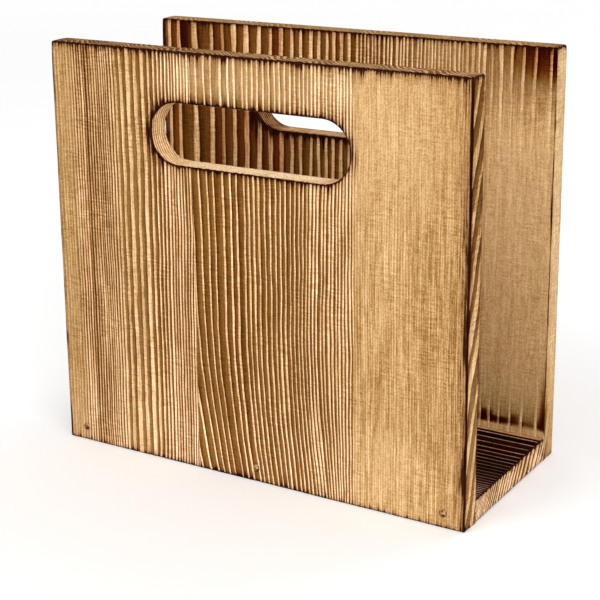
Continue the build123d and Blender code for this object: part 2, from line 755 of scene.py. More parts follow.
    def hole_walls(self, skin: Skin, columns: np.ndarray, rows: np.ndarray, levels: np.ndarray) -> None:
        """Adds the walls of the holes, and the floors of the pockets.

        Args:
            skin: Where the patches go.
            columns: Places across the board.
            rows: Places along the board.
            levels: Depths through the board.
        """
        for hole in self.through + self.pockets:
            loop_a, loop_b = self.block_loop(hole, columns, rows)
            foot, way, _ = hole.rays(loop_a, loop_b)
            depths = levels
            if hole in self.pockets:
                steps = arris_steps(hole.eased, self.hole_rounding_parts)
                depths = np.append(steps, [self.pocket_mid_depth, self.pocket_depth])
                if self.pockets_on_far_face:
                    depths = self.high[2] - depths
            marks = np.concatenate(
                [
                    np.repeat(foot[:, None, :], len(depths), axis=1),
                    np.broadcast_to(depths[None, :, None], (len(foot), len(depths), 1)),
                ],
                axis=-1,
            )
            skin.add(marks, self.ease_hole(hole, marks, foot[:, None, :], way[:, None, :]))
            if hole in self.pockets:
                centre = np.array([hole.across, hole.along, depths[-1]])
                shares = np.array(self.pocket_floor_shares)[None, :, None]
                floor = centre + (marks[:, -1:, :] - centre) * shares
                skin.add(floor, floor)

    def build(self) -> tuple[np.ndarray, np.ndarray, np.ndarray]:
        """The whole closed skin of the board.

        Returns:
            The vertices' marks, their places, and the faces as rows of four vertex numbers.
        """
        straight_ends = [
            hole.across + side * hole.half_straight for hole in self.through for side in (-1, 1)
        ]
        columns = self.stations(0, [*self.seams, *straight_ends], self.column_step)
        steps = np.array(self.near_ends)
        rows = self.stations(1, [*(self.low[1] + steps), *(self.high[1] - steps)], self.row_step)
        levels = self.stations(2, [], self.depth_step)
        skin = Skin()
        self.face_patches(skin, columns, rows, far=False)
        self.face_patches(skin, columns, rows, far=True)
        self.wall_patches(skin, columns, rows, levels)
        self.hole_walls(skin, columns, rows, levels)
        return skin.weld()


def board_mesh(name: str, corners: np.ndarray, faces: np.ndarray) -> bpy.types.Object:
    """Makes a closed mesh of welded quads with its faces pointing outwards.

    Args:
        name: The piece's name.
        corners: Vertex places in metres, in the row frame.
        faces: Rows of four vertex numbers, where a repeated number makes a triangle.

    Returns:
        The new piece, linked to the scene.
    """
    same_next = faces == np.roll(faces, -1, axis=1)
    whole = faces[~same_next.any(axis=1)]
    pinched = faces[same_next.sum(axis=1) == 1]
    kept = ~(pinched == np.roll(pinched, -1, axis=1))
    triangles = pinched[kept].reshape(-1, 3)
    mesh = bpy.data.meshes.new(name)
    mesh.from_pydata(corners.tolist(), [], whole.tolist() + triangles.tolist())
    shell = bmesh.new()
    shell.from_mesh(mesh)
    bmesh.ops.recalc_face_normals(shell, faces=shell.faces)
    shell.to_mesh(mesh)
    shell.free()
    mesh.polygons.foreach_set("use_smooth", np.ones(len(mesh.polygons), bool))
    mesh.update()
    piece = bpy.data.objects.new(name, mesh)
    bpy.context.scene.collection.objects.link(piece)
    return piece


def vertex_normals(mesh: bpy.types.Mesh) -> np.ndarray:
    """The mesh's vertex normals.

    Args:
        mesh: The mesh.

    Returns:
        Rows of 3, one for each vertex.
    """
    normals = np.empty(len(mesh.vertices) * 3, np.float32)
    mesh.vertex_normals.foreach_get("vector", normals)
    return normals.reshape(-1, 3).astype(float)


def paint(mesh: bpy.types.Mesh, **fields: np.ndarray) -> None:
    """Stores one number per vertex under each field's name, for the finishes to read.

    Args:
        mesh: The mesh.
        fields: The numbers, by name.
    """
    for name, values in fields.items():
        layer = mesh.attributes.new(name, "FLOAT", "POINT")
        layer.data.foreach_set("value", np.ascontiguousarray(values, np.float32))


# --- finishes ----------------------------------------------------------------------------------------


class Grain(Enum):
    """Which way the fibres of a board run, as scales along X, Y and Z for a pattern on Object places."""

    UPWARDS = "upwards"
    LENGTHWISE = "lengthwise"

    def scales(self, across: float, along: float) -> tuple[float, float, float]:
        """Pattern scales per metre on X, Y and Z.

        Args:
            across: Scale across the fibres.
            along: Scale along the fibres.

        Returns:
            The three scales.
        """
        if self is Grain.UPWARDS:
            return (across, across, along)
        return (along, across, across)


class Desk:
    """Lays shader nodes out in a material or a world and wires them up."""

    def __init__(self, owner: Union[bpy.types.Material, bpy.types.World]) -> None:
        """Clears the owner's nodes.

        Args:
            owner: The material or world to fill.
        """
        owner.use_nodes = True
        self.tree = owner.node_tree
        self.tree.nodes.clear()

    def node(self, kind: str, **settings: object) -> bpy.types.Node:
        """A new node with the given settings.

        Args:
            kind: The node's type.
            settings: Its properties, by name.

        Returns:
            The node.
        """
        made = self.tree.nodes.new(kind)
        for name, value in settings.items():
            setattr(made, name, value)
        made.location = (220.0 * len(self.tree.nodes), 0.0)
        return made

    def feed(self, socket: Socket, source: object) -> None:
        """Wires a socket to another, or sets its number or colour.

        Args:
            socket: The input.
            source: A socket, number or colour.
        """
        if isinstance(source, bpy.types.NodeSocket):
            self.tree.links.new(source, socket)
        else:
            socket.default_value = source

    def field(self, name: str) -> Socket:
        """The number stored on the mesh under this name."""
        return self.node("ShaderNodeAttribute", attribute_name=name).outputs["Fac"]

    def sum(self, operation: str, first: Feed, second: Feed = 0.0, clamp: bool = False) -> Socket:
        """One step of arithmetic.

        Args:
            operation: The Math node's operation.
            first: The first number.
            second: The second number, where the operation takes one.
            clamp: Whether the result is kept from 0 to 1.

        Returns:
            The result.
        """
        made = self.node("ShaderNodeMath", operation=operation, use_clamp=clamp)
        self.feed(made.inputs[0], first)
        if made.inputs[1].enabled:
            self.feed(made.inputs[1], second)
        return made.outputs[0]

    def added(self, first: Feed, *more: Feed) -> Socket:
        """All the numbers added up, from the first to the last."""
        for number in more:
            first = self.sum("ADD", first, number)
        return first

    def times(self, first: Feed, second: Feed) -> Socket:
        """The first number times the second."""
        return self.sum("MULTIPLY", first, second)

    def shifted(self, source: Feed, factor: float, offset: float, clamp: bool = False) -> Socket:
        """Source times factor plus offset.

        Args:
            source: The number.
            factor: What it is multiplied by.
            offset: What is added.
            clamp: Whether the result is kept from 0 to 1.

        Returns:
            The result.
        """
        made = self.node("ShaderNodeMath", operation="MULTIPLY_ADD", use_clamp=clamp)
        self.feed(made.inputs[0], source)
        made.inputs[1].default_value = factor
        made.inputs[2].default_value = offset
        return made.outputs[0]

    def soft(
        self, source: Feed, low: float, high: float, at_low: float = 0.0, at_high: float = 1.0
    ) -> Socket:
        """A soft step between two values of the source.

        Args:
            source: The number.
            low: Where the step starts.
            high: Where it ends.
            at_low: The result at and before low.
            at_high: The result at and after high.

        Returns:
            The result.
        """
        made = self.node("ShaderNodeMapRange", interpolation_type="SMOOTHSTEP")
        for socket, value in zip(made.inputs[:5], (source, low, high, at_low, at_high)):
            self.feed(socket, value)
        return made.outputs[0]

    def noise(
        self, scales: tuple[float, float, float], detail: float, seed: float, roughness: float = 0.5
    ) -> Socket:
        """Noise on Object places, stretched by scales.

        Args:
            scales: Scale per metre on X, Y and Z.
            detail: How many finer layers it has.
            seed: Moves the pattern, so that no two are alike.
            roughness: How strong the finer layers are.

        Returns:
            The noise, about 0.5 on average.
        """
        places = self.node("ShaderNodeTexCoord").outputs["Object"]
        mapping = self.node("ShaderNodeMapping")
        self.feed(mapping.inputs["Vector"], places)
        mapping.inputs["Scale"].default_value = scales
        mapping.inputs["Location"].default_value = (seed, 1.7 * seed, 2.3 * seed)
        made = self.node("ShaderNodeTexNoise")
        self.feed(made.inputs["Vector"], mapping.outputs[0])
        made.inputs["Scale"].default_value = 1.0
        made.inputs["Detail"].default_value = detail
        made.inputs["Roughness"].default_value = roughness
        return made.outputs[0]

    def ramp(self, source: Feed, stops: Sequence[tuple[float, Colour]]) -> Socket:
        """A run of colours.

        Args:
            source: Where in the run, from 0 to 1.
            stops: Places and their colours as screens write them.

        Returns:
            The colour.
        """
        made = self.node("ShaderNodeValToRGB")
        steps = made.color_ramp.elements
        while len(steps) < len(stops):
            steps.new(0.5)
        for step, (place, colour) in zip(steps, stops):
            step.position = place
            step.color = linear(colour)
        self.feed(made.inputs[0], source)
        return made.outputs[0]

    def mix(self, share: Feed, first: object, second: object, blend: str = "MIX") -> Socket:
        """A mix of two colours.

        Args:
            share: How much of the second.
            first: A colour socket or colour.
            second: A colour socket or colour.
            blend: The way they are blended.

        Returns:
            The mixed colour.
        """
        made = self.node("ShaderNodeMix", data_type="RGBA", blend_type=blend, clamp_factor=True)
        self.feed(made.inputs[0], share)
        self.feed(made.inputs[6], first)
        self.feed(made.inputs[7], second)
        return made.outputs[2]

    def graded(self, colour: Socket, factor: Feed) -> Socket:
        """A colour made lighter or darker, its green and blue more than its red, as in wood.

        Red is multiplied by the factor, green by its power of 1.3 and blue by its power of 1.9.

        Args:
            colour: The colour.
            factor: How much lighter or darker, taken as 0.04 where it is less.

        Returns:
            The changed colour.
        """
        kept = self.sum("MAXIMUM", factor, 0.04)
        parts = self.node("ShaderNodeCombineXYZ")
        self.feed(parts.inputs[0], kept)
        self.feed(parts.inputs[1], self.sum("POWER", kept, 1.3))
        self.feed(parts.inputs[2], self.sum("POWER", kept, 1.9))
        made = self.node("ShaderNodeVectorMath", operation="MULTIPLY")
        self.feed(made.inputs[0], colour)
        self.feed(made.inputs[1], parts.outputs[0])
        return made.outputs[0]

    def seen_directly(self) -> Socket:
        """1 for rays from the camera, also by way of a reflection or through glass, and 0 for light."""
        rays = self.node("ShaderNodeLightPath").outputs
        direct = self.sum("MAXIMUM", rays["Is Camera Ray"], rays["Is Glossy Ray"])
        return self.sum("MAXIMUM", direct, rays["Is Transmission Ray"])

    def either(self, share: Feed, first: Socket, second: Socket) -> Socket:
        """A mix of two shaders.

        Args:
            share: How much of the second.
            first: A shader.
            second: A shader.

        Returns:
            The mixed shader.
        """
        made = self.node("ShaderNodeMixShader")
        for socket, source in zip(made.inputs, (share, first, second)):
            self.feed(socket, source)
        return made.outputs[0]

    def coat(
        self, colour: Socket, roughness: Feed, relief: Socket, strength: float, height_m: float
    ) -> bpy.types.Node:
        """Ends a material with a surface of this colour, and a relief that is too fine for the mesh.

        Args:
            colour: The surface's colour.
            roughness: The surface's roughness.
            relief: The relief, from 0 to 1.
            strength: How strongly the relief turns the light.
            height_m: The relief's height.

        Returns:
            The surface's shader.
        """
        bump = self.node("ShaderNodeBump")
        bump.inputs["Strength"].default_value = strength
        bump.inputs["Distance"].default_value = height_m
        self.feed(bump.inputs["Height"], relief)
        shader = self.node("ShaderNodeBsdfPrincipled")
        self.feed(shader.inputs["Base Color"], colour)
        self.feed(shader.inputs["Roughness"], roughness)
        self.feed(shader.inputs["Normal"], bump.outputs[0])
        self.feed(self.node("ShaderNodeOutputMaterial").inputs["Surface"], shader.outputs[0])
        return shader


@dataclass(frozen=True)
class RingNodes:
    """What a finish works out about the ring that a point lies in.

    through runs from 0 to 0.78 over the dark band and on to 1 over the light line. line is 1 on the
    light line, and dark is 1 off it. luck, hue and line_luck are random numbers, one for each ring.
    """

    through: Socket
    line: Socket
    dark: Socket
    luck: Socket
    hue: Socket
    line_luck: Socket


@dataclass(frozen=True)
class ScorchedWood:
    """Softwood scorched with a flame and brushed along the grain, with its late wood as light lines.

    The mesh says where the rings are (ring), how much of each is light line (share), how deeply the
    wood is scorched from -1 for bare to 3 for black (scorch), how far the nearest burnt edge is (rim),
    and how much darker or lighter the wood is there (tint).
    """

    name: str
    grain: Grain
    seed: float
    pale: tuple[tuple[float, Colour], ...] = (
        (0.00, (160, 116, 62)), (0.12, (182, 138, 84)), (0.40, (203, 159, 105)), (0.70, (210, 166, 111)),
        (0.84, (232, 190, 136)), (0.94, (224, 182, 127)), (1.00, (168, 124, 70)),
    )
    washed: Colour = (212, 169, 114)
    bare: Colour = (238, 206, 162)
    brushed: tuple[tuple[float, Colour], ...] = (
        (0.00, (66, 26, 0)), (0.06, (82, 40, 0)), (0.20, (112, 70, 19)), (0.45, (130, 87, 36)),
        (0.62, (136, 92, 41)), (0.70, (104, 62, 14)), (0.755, (200, 156, 104)), (0.82, (240, 196, 144)),
        (0.90, (246, 204, 153)), (0.955, (255, 222, 170)), (0.985, (206, 160, 108)), (1.00, (66, 26, 0)),
    )
    charred: tuple[tuple[float, Colour], ...] = (
        (0.00, (30, 1, 0)), (0.12, (52, 9, 0)), (0.40, (74, 27, 1)), (0.62, (86, 37, 4)),
        (0.70, (56, 17, 0)), (0.76, (166, 118, 66)), (0.82, (198, 150, 94)), (0.90, (200, 152, 97)),
        (0.955, (226, 178, 122)), (0.985, (106, 52, 18)), (1.00, (28, 0, 0)),
    )
    soot: Colour = (46, 8, 5)
    burnt: Colour = (22, 0, 0)
    burnt_brown: Colour = (66, 23, 9)
    singed: Colour = (158, 112, 78)
    red_brown: Colour = (236, 170, 134)

    def make(self) -> bpy.types.Material:
        """Builds the finish.

        The rings' colour comes first. Fibres, grit, brush marks and clouds then make it darker or
        lighter, and the burnt edges go over it.

        Returns:
            The material.
        """
        material = bpy.data.materials.new(self.name)
        desk = Desk(material)
        rings = self.ring_nodes(desk)
        scorched = desk.field("scorch")
        uneven = desk.times(desk.shifted(rings.luck, 0.7, -0.35), desk.soft(scorched, 0.9, 1.5))
        scorch = desk.added(scorched, uneven)
        grit = desk.soft(desk.noise((2000.0, 2000.0, 2000.0), 1.0, self.seed + 2.0, 0.6), 0.34, 0.66)
        fibre = desk.soft(self.pattern(desk, 3, 1700.0, 55.0, 3.0, 0.6), 0.36, 0.64)

        colour = self.ring_colour(desk, rings, scorch)
        colour = desk.graded(colour, self.brightness(desk, rings, scorch, grit, fibre))
        colour = self.burnt_edges(desk, colour, rings.line, fibre)
        rough = desk.added(desk.shifted(fibre, 0.12, 0.60), desk.shifted(rings.line, -0.06, 0.0))
        relief = desk.added(
            desk.times(rings.line, desk.soft(scorch, 0.0, 1.0, 0.25, 1.0)),
            desk.shifted(fibre, 0.25, 0.0),
            desk.shifted(grit, 0.12, 0.0),
        )
        shader = desk.coat(colour, rough, relief, 0.5, 0.0002)
        shader.inputs["Specular IOR Level"].default_value = 0.02
        return material

    def pattern(
        self, desk: Desk, number: int, across: float, along: float, detail: float, roughness: float = 0.5
    ) -> Socket:
        """Noise that is stretched along the fibres.

        Args:
            desk: Where the nodes go.
            number: The pattern's number, so that no two of this finish are alike.
            across: Scale across the fibres, per metre.
            along: Scale along the fibres, per metre.
            detail: How many finer layers it has.
            roughness: How strong the finer layers are.

        Returns:
            The noise, about 0.5 on average.
        """
        return desk.noise(self.grain.scales(across, along), detail, self.seed + number, roughness)

    def ring_nodes(self, desk: Desk) -> RingNodes:
        """Works out how far each point lies through its ring.

        The ring count, made ragged by noise, is parted into the ring's number and the fraction of the
        ring that lies before the point. The fraction is stretched so that the light line takes its
        share, which swells along the line and differs from ring to ring.

        Args:
            desk: Where the nodes go.

        Returns:
            What is known of the ring.
        """
        stored_share = desk.field("share")
        ragged = self.pattern(desk, 0, 330.0, 60.0, 4.0, 0.62)
        swelling = self.pattern(desk, 1, 170.0, 30.0, 3.0)
        wander = desk.times(desk.shifted(ragged, 1.3, -0.65), desk.sum("MINIMUM", stored_share, 0.28))
        ring = desk.added(desk.field("ring"), wander)
        phase = desk.sum("FRACT", ring)
        number = desk.sum("FLOOR", ring)
        luck = self.draw(desk, number, 0.0)
        hue = self.draw(desk, number, 57.3)
        line_luck = self.draw(desk, number, 113.9)
        share = desk.times(stored_share, desk.soft(swelling, 0.3, 0.7, 0.75, 1.25))
        share = desk.times(share, desk.shifted(line_luck, 0.4, 0.8))
        dark_share = desk.shifted(share, -1.0, 1.0)
        dark_part = desk.sum("DIVIDE", phase, dark_share, clamp=True)
        light_part = desk.sum("DIVIDE", desk.sum("SUBTRACT", phase, dark_share), share, clamp=True)
        through = desk.added(desk.shifted(dark_part, 0.78, 0.0), desk.shifted(light_part, 0.22, 0.0))
        line = desk.soft(through, 0.70, 0.82)
        return RingNodes(through, line, desk.shifted(line, -1.0, 1.0), luck, hue, line_luck)

    def ring_colour(self, desk: Desk, rings: RingNodes, scorch: Socket) -> Socket:
        """The rings' colour from three runs, pale, brushed and charred, mixed by the scorch.

        Where the lines don't show clearly, a plain colour for the same scorch goes over them. Some
        rings are redder than others.

        Args:
            desk: Where the nodes go.
            rings: What is known of the ring.
            scorch: How deeply the wood is scorched.

        Returns:
            The colour.
        """
        bared = desk.shifted(scorch, -1.0, 0.0, clamp=True)
        browned = desk.shifted(scorch, 1.0, 0.0, clamp=True)
        charred = desk.shifted(scorch, 1.0, -1.0, clamp=True)
        blackened = desk.shifted(scorch, 1.0, -2.0, clamp=True)

        patches = self.pattern(desk, 13, 130.0, 30.0, 3.0, 0.6)
        lined = desk.soft(patches, 0.34, 0.66, 0.1, 0.6)
        colour = desk.mix(lined, linear(self.washed), desk.ramp(rings.through, self.pale))
        colour = desk.mix(bared, colour, linear(self.bare))
        colour = desk.mix(browned, colour, desk.ramp(rings.through, self.brushed))
        colour = desk.mix(charred, colour, desk.ramp(rings.through, self.charred))
        colour = desk.mix(desk.times(blackened, rings.dark), colour, linear(self.soot))

        brushed_band = self.brushed[DARK_STOPS[0]][1]
        charred_band = self.charred[DARK_STOPS[1]][1]
        plain = desk.mix(browned, linear(self.washed), linear(brushed_band))
        plain = desk.mix(charred, plain, linear(charred_band))
        plain = desk.mix(blackened, plain, linear(self.soot))
        unclear = desk.shifted(desk.field("clear"), -1.0, 1.0, clamp=True)
        colour = desk.mix(desk.times(desk.shifted(rings.line, 0.2, 0.8), unclear), colour, plain)

        reddish = desk.soft(rings.hue, 0.3, 1.0, 0.3, 0.9)
        reddish = desk.times(reddish, desk.shifted(rings.line, -0.6, 1.0))
        reddish = desk.times(reddish, desk.shifted(scorch, 1.6, -1.4, clamp=True))
        return desk.mix(reddish, colour, linear(self.red_brown), "MULTIPLY")

    def brightness(
        self, desk: Desk, rings: RingNodes, scorch: Socket, grit: Socket, fibre: Socket
    ) -> Socket:
        """How much lighter or darker than its ring's colour a point is, where 1 is unchanged.

        Added up are the fibres, the dashes along them, the grit, the broad changes, the brush's marks
        across the fibres, and the tint that the mesh carries. The broad changes are streaks, clouds,
        and each ring's and each line's own luck.

        Args:
            desk: Where the nodes go.
            rings: What is known of the ring.
            scorch: How deeply the wood is scorched.
            grit: The finest speckle, from 0 to 1.
            fibre: The fibres, from 0 to 1.

        Returns:
            The factor.
        """
        dash = desk.soft(self.pattern(desk, 4, 1150.0, 170.0, 2.0), 0.36, 0.64)
        streak = desk.soft(self.pattern(desk, 5, 430.0, 8.0, 3.0), 0.32, 0.68)
        hatch = desk.soft(self.pattern(desk, 7, 190.0, 1600.0, 1.0, 0.6), 0.38, 0.62)
        woven = desk.soft(self.pattern(desk, 8, 90.0, 70.0, 2.0), 0.4, 0.62, 0.15, 1.0)
        cloud = desk.soft(self.pattern(desk, 9, 60.0, 22.0, 3.0), 0.34, 0.66)
        fibre_depth = desk.times(desk.soft(scorch, 0.1, 1.0, 0.36, 0.26), desk.field("clear"))
        grit_depth = desk.soft(scorch, 0.1, 1.0, 0.26, 0.22)
        broad_depth = desk.soft(scorch, 0.1, 1.0, 0.45, 1.0)
        hatch_depth = desk.times(desk.soft(scorch, 0.1, 1.8, 0.2, 0.34), woven)
        broad = desk.added(
            desk.shifted(streak, 0.12, -0.06),
            desk.shifted(cloud, 0.10, -0.05),
            desk.times(desk.shifted(rings.luck, 0.16, -0.08), rings.dark),
            desk.times(desk.shifted(rings.line_luck, 0.18, -0.1), rings.line),
        )
        return desk.added(
            desk.times(desk.shifted(fibre, 1.0, -0.5), fibre_depth),
            desk.shifted(dash, 0.16, 0.92),
            desk.times(desk.shifted(grit, 1.0, -0.5), grit_depth),
            desk.times(broad, broad_depth),
            desk.times(desk.shifted(hatch, 1.0, -0.5), hatch_depth),
            desk.field("tint"),
        )

    def burnt_edges(self, desk: Desk, colour: Socket, line: Socket, fibre: Socket) -> Socket:
        """Lays the burnt edges over a colour: black with brown fibres, and a singed halo round them.

        The distance to the nearest burnt edge is made ragged by noise, and longer on the light lines.

        Args:
            desk: Where the nodes go.
            colour: The wood's colour.
            line: 1 on the light lines.
            fibre: The fibres, from 0 to 1.

        Returns:
            The colour with its burnt edges.
        """
        lick = desk.soft(self.pattern(desk, 11, 800.0, 70.0, 3.0, 0.6), 0.32, 0.68)
        reach = desk.times(desk.field("rim"), desk.shifted(lick, 1.2, 0.4))
        reach = desk.added(reach, desk.shifted(line, 0.3, 0.0))
        burn = desk.soft(reach, 0.55, 1.05, 0.98, 0.0)
        halo = desk.soft(reach, 0.5, 2.6, 0.55, 0.0)
        colour = desk.mix(halo, colour, linear(self.singed), "MULTIPLY")
        ember = desk.mix(desk.shifted(fibre, 0.6, 0.0), linear(self.burnt), linear(self.burnt_brown))
        return desk.mix(burn, colour, ember)

    def draw(self, desk: Desk, number: Socket, offset: float) -> Socket:
        """A random number from 0 to 1 for each ring.

        Args:
            desk: Where the nodes go.
            number: The ring's whole number.
            offset: Picks another set of random numbers.

        Returns:
            The random number.
        """
        dice = desk.node("ShaderNodeTexWhiteNoise", noise_dimensions="1D")
        desk.feed(dice.inputs["W"], desk.shifted(number, 1.0, self.seed + offset))
        return dice.outputs["Value"]


@dataclass(frozen=True)
class NailSteel:
    """Plain steel of a driven finishing nail, dulled and browned by the flame."""

    name: str = "browned_nail_steel"
    bright: Colour = (206, 160, 114)
    dull: Colour = (66, 32, 22)

    def make(self) -> bpy.types.Material:
        """Builds the finish: two colours of steel mixed by fine noise, with a hammered surface.

        Returns:
            The material.
        """
        material = bpy.data.materials.new(self.name)
        desk = Desk(material)
        patches = desk.noise((700.0, 700.0, 700.0), 3.0, 2.0, 0.6)
        colour = desk.mix(desk.soft(patches, 0.46, 0.58), linear(self.dull), linear(self.bright))
        shader = desk.coat(colour, desk.shifted(patches, 0.4, 0.35), patches, 0.4, 0.0001)
        shader.inputs["Metallic"].default_value = 0.35
        return material


# --- the boards --------------------------------------------------------------------------------------


def box_mm(node: str) -> tuple[np.ndarray, np.ndarray]:
    """A CAD node's lowest and highest corners in millimetres."""
    low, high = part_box(node)
    return np.array(low) / MM, np.array(high) / MM


def brushed_depth(
    facing: np.ndarray, rings: Rings, deepest: float, gaps: tuple[float, float]
) -> np.ndarray:
    """How deep the brush wore the wood: a cosine wave over each ring, deepest in its dark band.

    Fine rings are worn less, and the eased edges aren't worn at all.

    Args:
        facing: How squarely each point looks out of the board's wide faces, from 0 to 1.
        rings: The rings there.
        deepest: The greatest depth.
        gaps: The distance between lines where the relief starts, and where it is complete.

    Returns:
        The depth at each point.
    """
    wave = 0.5 - 0.5 * np.cos(2.0 * math.pi * (rings.count + RELIEF_PHASE))
    return deepest * smooth_step(*gaps, rings.gap) * wave * smooth_step(*BRUSHED_FACING, facing)


def press(mesh: bpy.types.Mesh, corners: np.ndarray, normals: np.ndarray, depth: np.ndarray) -> None:
    """Sets each vertex to its corner, moved in along its normal.

    Args:
        mesh: The mesh.
        corners: The vertices' places before.
        normals: Their normals.
        depth: How far each moves in.
    """
    mesh.vertices.foreach_set("co", ((corners - normals * depth[:, None]) * MM).ravel())
    mesh.update()


@dataclass
class Look:
    """How the flame and the brush left the wood at a set of points.

    scorch runs from -1 for bare wood over 0 for pale, 1 for brown and 2 for charred to 3 for black.
    tint is how much lighter or darker the wood is, and clear how well its light lines show, from 0 to 1.
    """

    scorch: np.ndarray
    tint: np.ndarray
    clear: np.ndarray

    @staticmethod
    def blend(parts: Sequence[tuple[np.ndarray, "Look"]]) -> "Look":
        """Adds looks up, each times its share.

        Args:
            parts: Shares that add up to 1 at each point, and their looks.

        Returns:
            The blended look.
        """
        return Look(
            scorch=sum(share * look.scorch for share, look in parts),
            tint=sum(share * look.tint for share, look in parts),
            clear=sum(share * look.clear for share, look in parts),
        )


@dataclass(frozen=True)
class Tone:
    """One look for a whole face."""

    scorch: float
    tint: float
    clear: float = 1.0

    def over(self, like: np.ndarray) -> Look:
        """The look at every point of an array with one number per point."""
        return Look(*(np.full_like(like, part) for part in (self.scorch, self.tint, self.clear)))


FaceLook = Callable[[np.ndarray, np.ndarray], Look]


@dataclass(frozen=True)
class Burn:
    """How wide the burnt bands along a board's arrises are, on its wide faces and on its narrow ones."""

    left: float
    right: float
    bottom: float
    top: float
    wall: float
    corner: float
    swell: float = 0.0
    swell_place: float = 0.0
    swell_width: float = 1.0

    def distance(self, marks: np.ndarray, low: np.ndarray, high: np.ndarray) -> np.ndarray:
        """Distance to the nearest arris, where 1 is the edge of its burnt band.

        It is the root of the squares of the distance on the wide face over the band's width there
        and of the distance down the narrow face over the wall's width. The bottom band swells by a
        bell curve round one place.

        Args:
            marks: Places on the board's box, as across, along and through.
            low: The box's lowest corner.
            high: The box's highest corner.

        Returns:
            The distances.
        """
        left, bottom, near = (marks - low).T
        right, top, far = (high - marks).T
        depth = np.minimum(near, far) / self.wall
        bottom_width = self.bottom + self.swell * bell(left, self.swell_place, self.swell_width)
        distances = [
            np.hypot(left / self.left, depth),
            np.hypot(right / self.right, depth),
            np.hypot(bottom / bottom_width, depth),
            np.hypot(top / self.top, depth),
            np.hypot(np.minimum(left, right), np.minimum(top, bottom)) / self.corner,
        ]
        return np.minimum.reduce(distances)


def dress(
    piece: bpy.types.Object,
    finish: bpy.types.Material,
    ring: np.ndarray,
    share: np.ndarray,
    look: Look,
    rim: np.ndarray,
) -> None:
    """Gives a board its finish and stores what the finish reads on its mesh.

    Args:
        piece: The board.
        finish: Its finish.
        ring: The ring count at each vertex.
        share: How much of each ring is light line.
        look: How the flame and the brush left the wood.
        rim: Distance to the nearest burnt edge.
    """
    paint(
        piece.data,
        ring=ring,
        share=share,
        scorch=look.scorch,
        clear=look.clear,
        rim=np.minimum(rim, RIM_REACH),
        tint=look.tint,
    )
    piece.data.materials.append(finish)
    LOG.info("%s: %d faces", piece.name, len(piece.data.polygons))


